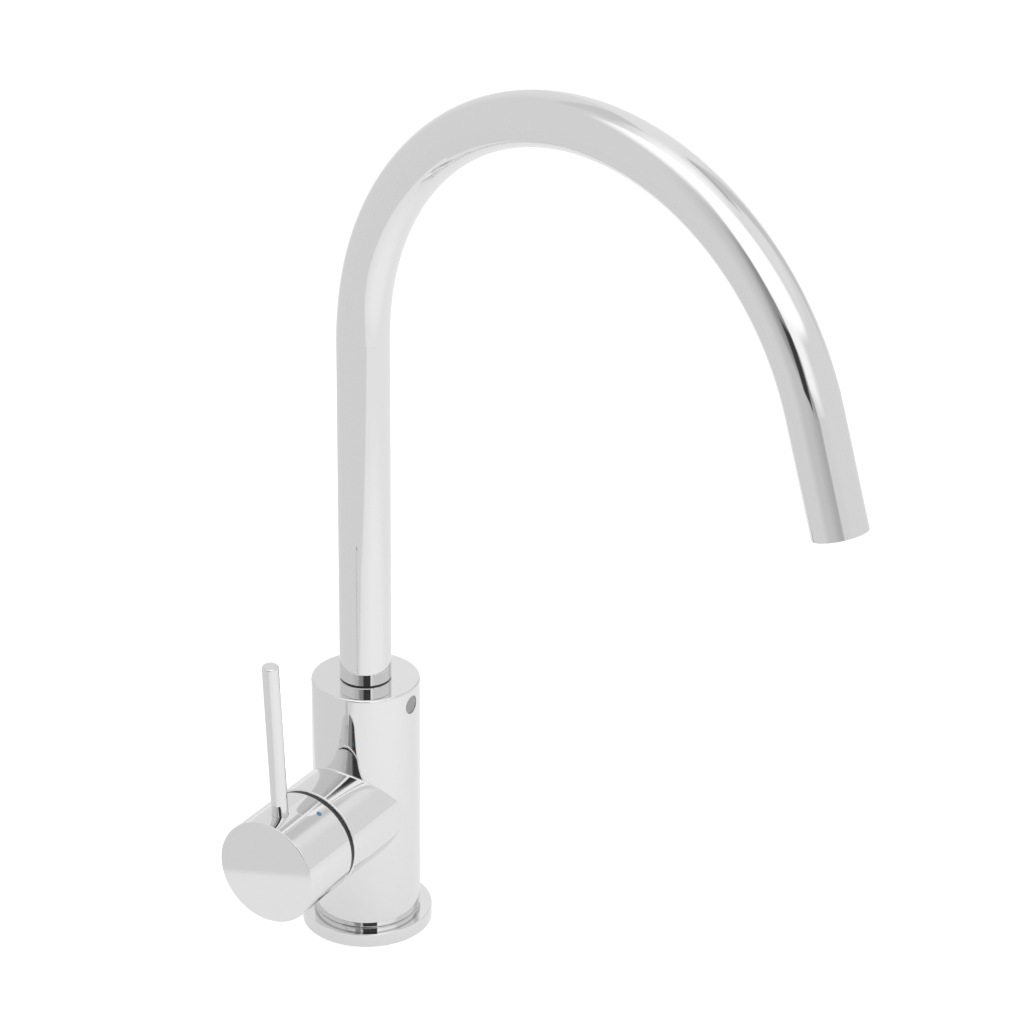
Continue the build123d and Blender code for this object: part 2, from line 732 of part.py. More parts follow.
# Tube: 22 mm brass tube, straight up, round the swan neck and straight again to the outlet
with BuildPart() as spout_tube:
    with BuildLine(spout_side):
        spout_path(tube_start, 0)
    with BuildSketch(Plane.XY.offset(tube_start)):
        Circle(tube_radius)
        Circle(tube_bore, mode=Mode.SUBTRACT)
    sweep()
spout_tube.part.label = "spout_tube"
export_step(spout_tube.part, "parts/spout_tube.step")

# Inner tube: carries filtered water from the well under the socket to the middle of the aerator
nozzle_back = nozzle_recess + nozzle_front_length + nozzle_socket_length
inner_tube_gap = nozzle_recess + nozzle_front_length + nozzle_socket_shoulder
with BuildPart() as filtered_water_tube:
    with BuildLine(spout_side):
        spout_path(inner_tube_start, inner_tube_gap)
    with BuildSketch(Plane.XY.offset(inner_tube_start)):
        Circle(inner_tube_radius)
        Circle(inner_tube_radius - inner_tube_wall, mode=Mode.SUBTRACT)
    sweep()
filtered_water_tube.part.label = "filtered_water_tube"
export_step(filtered_water_tube.part, "parts/filtered_water_tube.step")

with BuildPart() as inner_tube_seal:
    ring(well_seal_start, well_seal_end, well_seal_radius, inner_tube_radius + running_clearance)
inner_tube_seal.part.label = "inner_tube_seal"
export_step(inner_tube_seal.part, "parts/inner_tube_seal.step")

# Retaining screw: a socket screw with a plain tip that runs in the spigot's groove
with BuildPart() as spout_retaining_screw:
    with Locations(retaining_axis):
        rod(retaining_tip_reach, retaining_shoulder, retaining_tip_radius)
        rod(retaining_shoulder, retaining_shoulder + retaining_screw_length, retaining_screw_radius)
    with BuildSketch(retaining_axis.offset(retaining_shoulder + retaining_screw_length)):
        RegularPolygon(retaining_key / 2, 6, major_radius=False)
    extrude(amount=-retaining_key_depth, mode=Mode.SUBTRACT)
spout_retaining_screw.part.label = "spout_retaining_screw"
export_step(spout_retaining_screw.part, "parts/spout_retaining_screw.step")

plug_face = column_radius - plug_recess
with BuildPart() as rear_screw_plug:
    with Locations(retaining_axis):
        rod(plug_face - retaining_plug_thickness, plug_face, retaining_screw_radius)
rear_screw_plug.part.label = "rear_screw_plug"
export_step(rear_screw_plug.part, "parts/rear_screw_plug.step")

# ---- The aerator, about the outlet's axis: places inside the spout are negative ----

aerator_radius = tube_bore - seat_clearance
aerator_bore = aerator_radius - aerator_wall
aerator_back = -aerator_recess - aerator_length
screen_front = -aerator_recess - aerator_lip
screen_back = screen_front - screen_thickness
insert_front = screen_back - insert_gap
with BuildPart() as aerator_housing:
    with Locations(outlet):
        rod(aerator_back, -aerator_recess, aerator_radius)
        bore(aerator_back, screen_front, aerator_bore)
        bore(screen_front, -aerator_recess, aerator_bore - aerator_lip_width)
aerator_housing.part.label = "aerator_housing"
export_step(aerator_housing.part, "parts/aerator_housing.step")

# Screen: a thin disc with rows of fine holes round the filtered water's nozzle
with BuildPart() as aerator_screen:
    with Locations(outlet):
        ring(screen_back, screen_front, aerator_bore - seat_clearance, nozzle_radius + seat_clearance)
        for row, row_count in enumerate(screen_row_counts):
            with PolarLocations(aerator_bore - screen_edge - row * screen_row_step, row_count):
                bore(screen_back, screen_front, screen_hole_radius)
aerator_screen.part.label = "aerator_screen"
export_step(aerator_screen.part, "parts/aerator_screen.step")

# Insert: a plastic block with mixing channels, clipped on the nozzle
with BuildPart() as aerator_insert:
    with Locations(outlet):
        ring(
            aerator_back, insert_front,
            aerator_bore - seat_clearance, nozzle_socket_radius + seat_clearance,
        )
        with PolarLocations((aerator_bore + nozzle_socket_radius) / 2, insert_slots):
            bore(aerator_back, insert_front, insert_slot_radius)
aerator_insert.part.label = "aerator_insert"
export_step(aerator_insert.part, "parts/aerator_insert.step")

with BuildPart() as aerator_washer:
    with Locations(outlet):
        ring(
            aerator_back - aerator_washer_thickness, aerator_back,
            aerator_radius, aerator_radius - aerator_washer_width,
        )
aerator_washer.part.label = "aerator_washer"
export_step(aerator_washer.part, "parts/aerator_washer.step")

# Nozzle: takes the inner tube's end and opens in the middle of the screen
with BuildPart() as filtered_nozzle:
    with Locations(outlet):
        rod(-nozzle_recess - nozzle_front_length, -nozzle_recess, nozzle_radius)
        rod(-nozzle_back, -nozzle_recess - nozzle_front_length, nozzle_socket_radius)
        bore(-nozzle_back, -nozzle_recess, nozzle_bore)
        bore(-nozzle_back, -inner_tube_gap, inner_tube_radius + seat_clearance)
filtered_nozzle.part.label = "filtered_nozzle"
export_step(filtered_nozzle.part, "parts/filtered_nozzle.step")
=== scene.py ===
from math import cos, pi, radians

import bmesh
import bpy
from mathutils import Matrix, Vector


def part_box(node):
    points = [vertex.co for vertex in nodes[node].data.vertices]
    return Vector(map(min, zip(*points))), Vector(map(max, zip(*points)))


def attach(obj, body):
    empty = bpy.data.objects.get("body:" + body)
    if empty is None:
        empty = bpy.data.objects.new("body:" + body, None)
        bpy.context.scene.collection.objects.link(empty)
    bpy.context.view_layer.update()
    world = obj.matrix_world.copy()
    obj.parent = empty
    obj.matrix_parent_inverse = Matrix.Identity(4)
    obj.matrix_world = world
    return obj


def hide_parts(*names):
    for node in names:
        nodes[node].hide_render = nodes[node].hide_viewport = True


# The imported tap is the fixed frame: metres, +Z up, -Y to the user, -X out along the side branch. The
# script sets up the studio and then follows the tap as it is put together: the column on its flange,
# the clamp below the worktop, the window, the cartridge, the handle and last the spout.
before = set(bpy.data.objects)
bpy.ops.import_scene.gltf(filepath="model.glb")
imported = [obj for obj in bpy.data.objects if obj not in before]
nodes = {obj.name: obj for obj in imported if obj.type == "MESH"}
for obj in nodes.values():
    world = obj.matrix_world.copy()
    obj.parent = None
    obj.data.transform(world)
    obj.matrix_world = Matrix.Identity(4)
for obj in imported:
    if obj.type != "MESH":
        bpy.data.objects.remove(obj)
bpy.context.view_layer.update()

# ---- The camera ----
# It stands in front of the tap on the lever's side and looks down on it through a long lens. Its
# place was worked out from the tap's outlines in the photograph.

camera_place = Vector((-1.17275, -0.76719, 0.85411))
camera_turn = radians(-59.304)
camera_dip = radians(25.252)
camera_roll = radians(0.631)
camera_azimuth = radians(-146.807)
lens_length = 131.616
film_width = 36.0

camera_data = bpy.data.cameras.new("camera")
camera_data.sensor_width = film_width
camera_data.lens = lens_length
camera = bpy.data.objects.new("camera", camera_data)
camera.matrix_world = (
    Matrix.Translation(camera_place)
    @ Matrix.Rotation(camera_turn, 4, "Z")
    @ Matrix.Rotation(pi / 2 - camera_dip, 4, "X")
    @ Matrix.Rotation(camera_roll, 4, "Z")
)
bpy.context.scene.collection.objects.link(camera)
bpy.context.scene.camera = camera
bpy.context.scene.view_settings.view_transform = "Standard"

# ---- The light tent ----
# A white cloth tent lit from above and from the right. Polished chrome shows the whole of it, so each
# soft area of the cloth has its place, in degrees round from the camera and in degrees up.


def add_node(tree, kind, feeds=None, **settings):
    """Puts a node in a tree, and feeds its inputs with values or with the outputs of other nodes."""
    node = tree.nodes.new(kind)
    for name, value in settings.items():
        setattr(node, name, value)
    for socket, source in (feeds or {}).items():
        if isinstance(source, bpy.types.NodeSocket):
            tree.links.new(source, node.inputs[socket])
        else:
            node.inputs[socket].default_value = source
    return node


def add_math(tree, operation, *sources):
    """One step of arithmetic on values or outputs."""
    return add_node(tree, "ShaderNodeMath", dict(enumerate(sources)), operation=operation).outputs[0]


def soft_step(tree, value, start, end):
    """0 up to start, 1 from end on, and a smooth rise between them. End may lie below start."""
    feeds = {0: value, 1: start, 2: end, 3: 0.0, 4: 1.0}
    return add_node(tree, "ShaderNodeMapRange", feeds, interpolation_type="SMOOTHSTEP").outputs[0]


def mix_values(tree, share, below, above):
    """Below where share is 0, above where it is 1."""
    feeds = {0: share, 2: below, 3: above}
    return add_node(tree, "ShaderNodeMix", feeds, data_type="FLOAT").outputs[0]


tent = bpy.data.worlds.new("light_tent")
tent.use_nodes = True
cloth = tent.node_tree
cloth.nodes.clear()
bpy.context.scene.world = tent

looking = add_node(cloth, "ShaderNodeTexCoord").outputs["Generated"]
turn_feeds = {"Vector": looking, "Angle": -camera_azimuth}
turned_look = add_node(cloth, "ShaderNodeVectorRotate", turn_feeds, rotation_type="Z_AXIS").outputs[0]
look_parts = add_node(cloth, "ShaderNodeSeparateXYZ", {0: turned_look}).outputs
in_degrees = 180 / pi
around = add_math(cloth, "MULTIPLY", add_math(cloth, "ARCTAN2", look_parts[1], look_parts[0]), in_degrees)
up = add_math(cloth, "MULTIPLY", add_math(cloth, "ARCSINE", look_parts[2]), in_degrees)
lean_start = 17.0
lean_share = 0.83
low_shift = 9.0
over_start = add_math(cloth, "MAXIMUM", add_math(cloth, "SUBTRACT", up, lean_start), 0.0)
leaning = add_math(cloth, "ADD", around, add_math(cloth, "MULTIPLY", over_start, lean_share))
under_start = add_math(cloth, "MULTIPLY", soft_step(cloth, up, 9, 3), low_shift)
leaning = add_math(cloth, "SUBTRACT", leaning, under_start)


def light_area(tone, brightness, *edges):
    """The cloth turns to this brightness inside all of these edges, each a direction with two angles."""
    share = soft_step(cloth, *edges[0])
    for edge in edges[1:]:
        share = add_math(cloth, "MULTIPLY", share, soft_step(cloth, *edge))
    return mix_values(cloth, share, tone, brightness)


wall = 0.78
tone = light_area(wall, 0.81, (around, 20, 50))
tone = light_area(tone, 0.89, (around, 60, 90), (up, 22, 34))
# The wall behind the tap, its floor strip, and two grey seams beside it
tone = light_area(tone, 0.91, (around, 142, 160))
tone = light_area(tone, 0.84, (around, -140, -165))
tone = light_area(tone, 1.12, (around, -145, -165), (up, 5, -12))
tone = light_area(tone, 1.12, (around, 145, 165), (up, 5, -12))
tone = light_area(tone, 0.66, (around, 120, 129), (around, 148, 141), (up, -4, 4), (up, 60, 50))
tone = light_area(tone, 0.56, (around, 110, 118), (around, 150, 142), (up, 48, 52), (up, 62, 58))
tone = light_area(tone, 0.70, (around, -128, -140), (up, 42, 48), (up, 68, 62))
# The veil of half shade to the left of the tent's mouth
tone = light_area(tone, 0.65, (around, -68, -38), (leaning, 3, -3), (up, 54, 40))
tone = light_area(tone, 0.50, (around, -32, 6), (leaning, 3, -3), (up, 12, 3))
tone = light_area(tone, 0.32, (around, -44, -20), (leaning, 2, -3), (up, 0, 9), (up, 50, 34))
# The lamp cloth to the right of it, and the soft fill below that
tone = light_area(tone, 1.12, (leaning, -4, 5), (around, 40, 16), (up, 5, 12))
tone = light_area(tone, 1.25, (leaning, -6, 5), (around, 76, 58), (up, 27, 34))
tone = light_area(tone, 1.15, (up, 60, 85))
tone = light_area(tone, 1.25, (around, -122, -106), (around, 66, 48), (up, 48, 64))

to_camera = add_node(cloth, "ShaderNodeLightPath").outputs["Is Camera Ray"]
paper_white = 1.0
tone = mix_values(cloth, to_camera, tone, paper_white)
glow = add_node(cloth, "ShaderNodeBackground", {"Color": tone}).outputs[0]
add_node(cloth, "ShaderNodeOutputWorld", {"Surface": glow})

# ---- The mouth of the tent ----
# The dark gap that the camera looks in through, which shows as soft black shapes in the chrome. They are
# two black cards between tap and camera that only reflections see, the near one only in double ones.

mouth_black = 0.05
mouth_soft = 0.016


def studio_parts(tree):
    """Each point's way towards the camera, way to the camera's right, and height, in metres."""
    place = add_node(tree, "ShaderNodeTexCoord").outputs["Object"]
    feeds = {"Vector": place, "Angle": -camera_azimuth}
    turned_place = add_node(tree, "ShaderNodeVectorRotate", feeds, rotation_type="Z_AXIS").outputs[0]
    return add_node(tree, "ShaderNodeSeparateXYZ", {0: turned_place}).outputs


def stage_object(name, mesh, material):
    """A finished mesh as a part of the studio."""
    data = bpy.data.meshes.new(name)
    mesh.to_mesh(data)
    mesh.free()
    data.materials.append(material)
    stage = bpy.data.objects.new(name, data)
    bpy.context.scene.collection.objects.link(stage)
    return stage


def mouth_card(name, distance, left, right, bottom, top, soft_left, fewest_bounces):
    """A black card this far from the tap, with soft edges, for rays that have bounced often enough."""
    card = bmesh.new()
    bmesh.ops.create_grid(card, x_segments=1, y_segments=1, size=0.5)
    bmesh.ops.scale(card, vec=(right - left, top - bottom, 1), verts=card.verts)
    bmesh.ops.rotate(card, matrix=Matrix.Rotation(pi / 2, 3, "X"), verts=card.verts)
    bmesh.ops.rotate(card, matrix=Matrix.Rotation(pi / 2, 3, "Z"), verts=card.verts)
    middle = (distance, (left + right) / 2, (bottom + top) / 2)
    bmesh.ops.translate(card, vec=middle, verts=card.verts)
    bmesh.ops.rotate(card, matrix=Matrix.Rotation(camera_azimuth, 3, "Z"), verts=card.verts)
    black = bpy.data.materials.new(name)
    black.use_nodes = True
    tree = black.node_tree
    tree.nodes.clear()
    _, rightward, height = studio_parts(tree)
    bounces = add_node(tree, "ShaderNodeLightPath").outputs["Ray Depth"]
    share = add_math(tree, "GREATER_THAN", bounces, fewest_bounces - 0.5)
    for part, start, end in (
        (rightward, left, left + soft_left), (rightward, right, right - mouth_soft),
        (height, bottom, bottom + mouth_soft), (height, top, top - 3 * mouth_soft),
    ):
        share = add_math(tree, "MULTIPLY", share, soft_step(tree, part, start, end))
    shade = add_node(tree, "ShaderNodeEmission", {"Strength": mouth_black}).outputs[0]
    clear = add_node(tree, "ShaderNodeBsdfTransparent").outputs[0]
    mixed = add_node(tree, "ShaderNodeMixShader", {0: share, 1: clear, 2: shade}).outputs[0]
    add_node(tree, "ShaderNodeOutputMaterial", {"Surface": mixed})
    stage = stage_object(name, card, black)
    stage.visible_camera = False
    stage.visible_diffuse = False
    stage.visible_transmission = False
    stage.visible_shadow = False


mouth_card("far_mouth", 0.75, -0.085, 0.115, 0.33, 0.60, 0.055, 1)
mouth_card("near_mouth", 0.42, -0.105, 0.170, 0.02, 0.51, 0.045, 2)

# ---- The floor ----
# A plain white sheet that burns out to white for the camera, and that is clear from below. In the
# chrome its brightness is partly painted light: a grey sheet that glows as well as taking real light,
# brighter inside a straight-edged patch near the tap and brighter still in a painted pool of light to the
# front right. It ends about 0.7 m from the tap.

floor_radius = 8.0
floor_drop = 0.0002
# Painted light: the tones that the sheet glows with in reflections, darker outside the patch and brighter
# inside it
sheet_tone = 0.80
bright_patch_tone = 0.96
# Painted light: the brightness of the pool of light painted to the front right
light_pool_tone = 1.04
bright_patch_left = -0.108
bright_patch_corner = 0.345
bright_patch_slope = 0.93
near_slope = 0.65
near_left = -0.198
near_least = -0.150
near_soft = 0.004
far_soft = 0.022
near_until = 0.050
far_from = 0.072
sharp_until = 0.125
blurred_from = 0.165
slant_soft = (-0.03, 0.04)
light_pool_middle = (0.21, 0.21, 0)
light_pool_edge = 0.33
light_pool_heart = 0.08
sheet_end = 0.70
end_soft = 0.05
glow_share = 0.55
matt_share = 0.45
burnt_strength = 0.6
burnt_grey = (0.7, 0.7, 0.7, 1)

floor_mesh = bmesh.new()
bmesh.ops.create_circle(floor_mesh, cap_ends=True, radius=floor_radius, segments=96)
bmesh.ops.translate(floor_mesh, verts=floor_mesh.verts, vec=(0, 0, -floor_drop))

floor_white = bpy.data.materials.new("floor_sheet")
floor_white.use_nodes = True
sheet = floor_white.node_tree
sheet.nodes.clear()
forward, rightward, _ = studio_parts(sheet)
near_edge = add_math(sheet, "MULTIPLY_ADD", forward, near_slope, near_left)
near_edge = add_math(sheet, "MAXIMUM", add_math(sheet, "MINIMUM", near_edge, bright_patch_left), near_least)
bright_patch_edge = mix_values(sheet, soft_step(sheet, forward, near_until, far_from), bright_patch_left, near_edge)
edge_softness = mix_values(sheet, soft_step(sheet, forward, sharp_until, blurred_from), near_soft, far_soft)
from_edge = add_math(sheet, "SUBTRACT", rightward, bright_patch_edge)
in_bright_patch = soft_step(sheet, from_edge, add_math(sheet, "MULTIPLY", edge_softness, -1.0), edge_softness)
past_corner = add_math(sheet, "MULTIPLY", add_math(sheet, "SUBTRACT", forward, bright_patch_corner), bright_patch_slope)
from_slant = add_math(sheet, "SUBTRACT", add_math(sheet, "SUBTRACT", rightward, bright_patch_left), past_corner)
in_bright_patch = add_math(sheet, "MULTIPLY", in_bright_patch, soft_step(sheet, from_slant, *slant_soft))
floor_tone = mix_values(sheet, in_bright_patch, sheet_tone, bright_patch_tone)
# Painted light: a brighter pool of light painted on the patch to the front right
sheet_place = add_node(sheet, "ShaderNodeCombineXYZ", {0: forward, 1: rightward}).outputs[0]
light_pool_feeds = {0: sheet_place, 1: light_pool_middle}
from_light_pool = add_node(sheet, "ShaderNodeVectorMath", light_pool_feeds, operation="DISTANCE").outputs["Value"]
in_light_pool = add_math(sheet, "MULTIPLY", in_bright_patch, soft_step(sheet, from_light_pool, light_pool_edge, light_pool_heart))
floor_tone = mix_values(sheet, in_light_pool, floor_tone, light_pool_tone)
# Painted light: in reflections the sheet glows with these tones besides taking real light
matt_tone = add_math(sheet, "MULTIPLY", floor_tone, matt_share)
glow_tone = add_math(sheet, "MULTIPLY", floor_tone, glow_share)
seen_glow = add_node(sheet, "ShaderNodeEmission", {"Strength": glow_tone}).outputs[0]
seen_matt = add_node(sheet, "ShaderNodeBsdfDiffuse", {"Color": matt_tone}).outputs[0]
seen_sheet = add_node(sheet, "ShaderNodeAddShader", {0: seen_glow, 1: seen_matt}).outputs[0]
from_foot = add_node(sheet, "ShaderNodeVectorMath", {0: sheet_place}, operation="LENGTH").outputs["Value"]
past_end = soft_step(sheet, from_foot, sheet_end - end_soft, sheet_end + end_soft)
no_sheet = add_node(sheet, "ShaderNodeBsdfTransparent").outputs[0]
seen_floor = add_node(sheet, "ShaderNodeMixShader", {0: past_end, 1: seen_sheet, 2: no_sheet}).outputs[0]
burnt_glow = add_node(sheet, "ShaderNodeEmission", {"Strength": burnt_strength}).outputs[0]
burnt_matt = add_node(sheet, "ShaderNodeBsdfDiffuse", {"Color": burnt_grey}).outputs[0]
burnt_floor = add_node(sheet, "ShaderNodeAddShader", {0: burnt_glow, 1: burnt_matt}).outputs[0]
from_below = add_node(sheet, "ShaderNodeNewGeometry").outputs["Backfacing"]
below_feeds = {0: from_below, 1: burnt_floor, 2: no_sheet}
burnt_floor = add_node(sheet, "ShaderNodeMixShader", below_feeds).outputs[0]
by_camera = add_node(sheet, "ShaderNodeLightPath").outputs["Is Camera Ray"]
floor_mix = add_node(sheet, "ShaderNodeMixShader", {0: by_camera, 1: seen_floor, 2: burnt_floor}).outputs[0]
add_node(sheet, "ShaderNodeOutputMaterial", {"Surface": floor_mix})
stage_object("floor", floor_mesh, floor_white)

# ---- The column ----
# Column and branch are one brass casting, turned, bored, then ground, polished and chrome plated. The
# plating covers the outside only: the bores and the chamber stay bare machined brass.

chrome_grey = (0.80, 0.80, 0.80, 1)
brass_yellow = (0.74, 0.56, 0.27, 1)
_, column_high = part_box("body_shell")
branch_height = 0.0586
column_inside = 0.0214
branch_inside = 0.0193
branch_root = -0.006
rim_land = 0.0005
bare_rough = 0.3
polish_depth = 0.000002


def new_group(name, inputs, outputs):
    """An empty shader group with these value inputs, a Place input for coordinates and these outputs."""
    group = bpy.data.node_groups.new(name, "ShaderNodeTree")
    group.interface.new_socket(name="Place", in_out="INPUT", socket_type="NodeSocketVector")
    for label, value in inputs.items():
        socket = group.interface.new_socket(name=label, in_out="INPUT", socket_type="NodeSocketFloat")
        socket.default_value = value
    for label in outputs:
        group.interface.new_socket(name=label, in_out="OUTPUT", socket_type="NodeSocketFloat")
    return group, group.nodes.new("NodeGroupInput").outputs, group.nodes.new("NodeGroupOutput")


# Polish: buffing leaves a very slight unevenness, and wiping leaves some places a little duller
polish, polish_in, polish_out = new_group(
    "polish", {"Bright": 0.03, "Dull": 0.06}, ("Roughness", "Height"),
)
wipe_feeds = {"Vector": polish_in["Place"], "Scale": 60.0, "Detail": 4.0, "Roughness": 0.55}
wiped = add_node(polish, "ShaderNodeTexNoise", wipe_feeds).outputs["Fac"]
dulled = soft_step(polish, wiped, 0.35, 0.75)
dullness = mix_values(polish, dulled, polish_in["Bright"], polish_in["Dull"])
ripple_feeds = {"Vector": polish_in["Place"], "Scale": 130.0, "Detail": 2.0}
rippled = add_node(polish, "ShaderNodeTexNoise", ripple_feeds).outputs["Fac"]
polish.links.new(dullness, polish_out.inputs["Roughness"])
polish.links.new(rippled, polish_out.inputs["Height"])

# Tool marks: fine rings left by the turning tool round an axis, a little deeper here and there
tool_marks, marks_in, marks_out = new_group(
    "tool_marks", {"Pitch": 0.0002, "Bright": 0.22, "Dull": 0.36}, ("Roughness", "Height", "Shade"),
)
marks_parts = add_node(tool_marks, "ShaderNodeSeparateXYZ", {0: marks_in["Place"]}).outputs
marks_flat = add_node(tool_marks, "ShaderNodeCombineXYZ", {0: marks_parts[0], 1: marks_parts[1]}).outputs[0]
marks_length = add_node(tool_marks, "ShaderNodeVectorMath", {0: marks_flat}, operation="LENGTH")
marks_radius = marks_length.outputs["Value"]
marks_travel = add_math(tool_marks, "ADD", marks_radius, marks_parts[2])
marks_turns = add_math(tool_marks, "DIVIDE", marks_travel, marks_in["Pitch"])
marks_wave = add_math(tool_marks, "SINE", add_math(tool_marks, "MULTIPLY", marks_turns, 2 * pi))
tarnish_feeds = {"Vector": marks_in["Place"], "Scale": 90.0, "Detail": 5.0}
tarnished = add_node(tool_marks, "ShaderNodeTexNoise", tarnish_feeds).outputs["Fac"]
marks_rough = mix_values(tool_marks, tarnished, marks_in["Bright"], marks_in["Dull"])
tool_marks.links.new(marks_rough, marks_out.inputs["Roughness"])
tool_marks.links.new(marks_wave, marks_out.inputs["Height"])
tool_marks.links.new(tarnished, marks_out.inputs["Shade"])


def new_finish(name, **sockets):
    """A material with a Principled shader, the values on its sockets, and its Object coordinates."""
    finish = bpy.data.materials.new(name)
    finish.use_nodes = True
    shader = finish.node_tree.nodes["Principled BSDF"]
    for socket, value in sockets.items():
        shader.inputs[socket.replace("_", " ")].default_value = value
    place = add_node(finish.node_tree, "ShaderNodeTexCoord").outputs["Object"]
    return finish, finish.node_tree, shader, place


def use_group(tree, group, place, **values):
    """A shared effect in a material, with this material's own values."""
    node = tree.nodes.new("ShaderNodeGroup")
    node.node_tree = group
    tree.links.new(place, node.inputs["Place"])
    for name, value in values.items():
        node.inputs[name].default_value = value
    return node.outputs


def press_bump(tree, shader, height, depth):
    """Feeds a height in metres of depth to the shader's normal."""
    bump = add_node(tree, "ShaderNodeBump", {"Height": height, "Distance": depth, "Strength": 1.0})
    tree.links.new(bump.outputs["Normal"], shader.inputs["Normal"])


def mix_colours(tree, share, first, second):
    """First colour where share is 0, second where it is 1."""
    feeds = {0: share, 6: first, 7: second}
    return add_node(tree, "ShaderNodeMix", feeds, data_type="RGBA").outputs[2]


def put_on(finish, *names):
    """Gives CAD pieces their material."""
    for name in names:
        nodes[name].data.materials.clear()
        nodes[name].data.materials.append(finish)


body_chrome, tree, shader, place = new_finish("body_chrome", Metallic=1.0)
buffed = use_group(tree, polish, place, Bright=0.025, Dull=0.055)
body_parts = add_node(tree, "ShaderNodeSeparateXYZ", {0: place}).outputs
flat_place = add_node(tree, "ShaderNodeCombineXYZ", {0: body_parts[0], 1: body_parts[1]}).outputs[0]
from_column = add_node(tree, "ShaderNodeVectorMath", {0: flat_place}, operation="LENGTH").outputs["Value"]
branch_level = add_math(tree, "SUBTRACT", body_parts[2], branch_height)
branch_place = add_node(tree, "ShaderNodeCombineXYZ", {1: body_parts[1], 2: branch_level}).outputs[0]
from_branch = add_node(tree, "ShaderNodeVectorMath", {0: branch_place}, operation="LENGTH").outputs["Value"]
in_column = add_math(tree, "LESS_THAN", from_column, column_inside)
in_column = add_math(
    tree, "MULTIPLY", in_column, add_math(tree, "LESS_THAN", body_parts[2], column_high[2] - rim_land),
)
in_branch = add_math(tree, "LESS_THAN", from_branch, branch_inside)
branch_side = add_math(tree, "LESS_THAN", body_parts[0], branch_root)
in_branch = add_math(tree, "MULTIPLY", in_branch, branch_side)
inside = add_math(tree, "MAXIMUM", in_column, in_branch)
tree.links.new(mix_colours(tree, inside, chrome_grey, brass_yellow), shader.inputs["Base Color"])
machined = mix_values(tree, inside, buffed["Roughness"], bare_rough)
tree.links.new(machined, shader.inputs["Roughness"])
press_bump(tree, shader, buffed["Height"], polish_depth)
put_on(body_chrome, "body_shell")

# ---- The base flange and its gasket ----
# A turned ring with a polished top and a finely rounded edge, and a black rubber ring in its groove that
# keeps water out from under it. The shank pulls the column and both of them down.

chrome, tree, shader, place = new_finish("chrome", Metallic=1.0)
shader.inputs["Base Color"].default_value = chrome_grey
buffed = use_group(tree, polish, place, Bright=0.025, Dull=0.055)
tree.links.new(buffed["Roughness"], shader.inputs["Roughness"])
press_bump(tree, shader, buffed["Height"], polish_depth)
put_on(chrome, "base_flange")

# Moulding: the fine grain that a mould leaves, with slightly paler, drier patches
moulding, moulding_in, moulding_out = new_group(
    "moulding", {"Grain": 2500.0, "Bright": 0.4, "Dull": 0.55}, ("Roughness", "Height", "Shade"),
)
grain_feeds = {"Vector": moulding_in["Place"], "Scale": moulding_in["Grain"], "Detail": 3.0}
grained = add_node(moulding, "ShaderNodeTexNoise", grain_feeds).outputs["Fac"]
patch_feeds = {"Vector": moulding_in["Place"], "Scale": 140.0, "Detail": 3.0}
patched = add_node(moulding, "ShaderNodeTexNoise", patch_feeds).outputs["Fac"]
patch_share = soft_step(moulding, patched, 0.3, 0.7)
moulded_rough = mix_values(moulding, patch_share, moulding_in["Bright"], moulding_in["Dull"])
moulding.links.new(moulded_rough, moulding_out.inputs["Roughness"])
moulding.links.new(grained, moulding_out.inputs["Height"])
moulding.links.new(patch_share, moulding_out.inputs["Shade"])


def moulded_finish(name, colour, worn, bright, dull, grain, depth):
    """A moulded material: its colour, the paler colour of its dry patches, its sheen and its grain."""
    finish, tree, shader, place = new_finish(name)
    pressed = use_group(tree, moulding, place, Bright=bright, Dull=dull, Grain=grain)
    tree.links.new(mix_colours(tree, pressed["Shade"], colour, worn), shader.inputs["Base Color"])
    tree.links.new(pressed["Roughness"], shader.inputs["Roughness"])
    press_bump(tree, shader, pressed["Height"], depth)
    return finish


rubber = moulded_finish(
    "black_rubber", (0.022, 0.022, 0.024, 1), (0.045, 0.045, 0.047, 1), 0.55, 0.75, 3000.0, 0.00002,
)
put_on(rubber, "base_gasket")

# ---- The threaded shank ----
# A brass tube with an M32 x 1.5 thread along the whole of its outside, screwed up into the column. The
# hoses and the lamp's cable come up through it.

thread_pitch = 0.0015
thread_depth = 0.00092
thread_crest = 0.0002
thread_steps = 40
shank_low, shank_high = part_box("threaded_shank")
shank_radius = shank_high[0]
shank_wall = 0.0017
shank_bore = shank_radius - shank_wall
thread_floor = shank_radius - thread_depth
shank_bevel = 0.0008
ridge_sink = 0.00005
ridge_half_foot = 0.46 * thread_pitch


def turned_ring(profile, steps=96):
    """A closed outline of radii and heights, spun once round the column's axis."""
    ring = bmesh.new()
    corners = [ring.verts.new((radius, 0, height)) for radius, height in profile]
    sides = [ring.edges.new(pair) for pair in zip(corners, corners[1:] + corners[:1])]
    bmesh.ops.spin(
        ring, geom=corners + sides, cent=(0, 0, 0), axis=(0, 0, 1), angle=2 * pi, steps=steps,
        use_merge=True,
    )
    bmesh.ops.remove_doubles(ring, verts=ring.verts, dist=0.0000001)
    bmesh.ops.recalc_face_normals(ring, faces=ring.faces)
    return ring


def new_piece(name, mesh, finish, body, node, crease=radians(30)):
    """A finished mesh as a piece of the tap that rides on a body and stands for a CAD node."""
    data = bpy.data.meshes.new(name)
    mesh.to_mesh(data)
    mesh.free()
    data.shade_smooth()
    data.set_sharp_from_angle(angle=crease)
    data.materials.append(finish)
    piece = bpy.data.objects.new(name, data)
    bpy.context.scene.collection.objects.link(piece)
    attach(piece, body)
    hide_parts(node)
    return piece


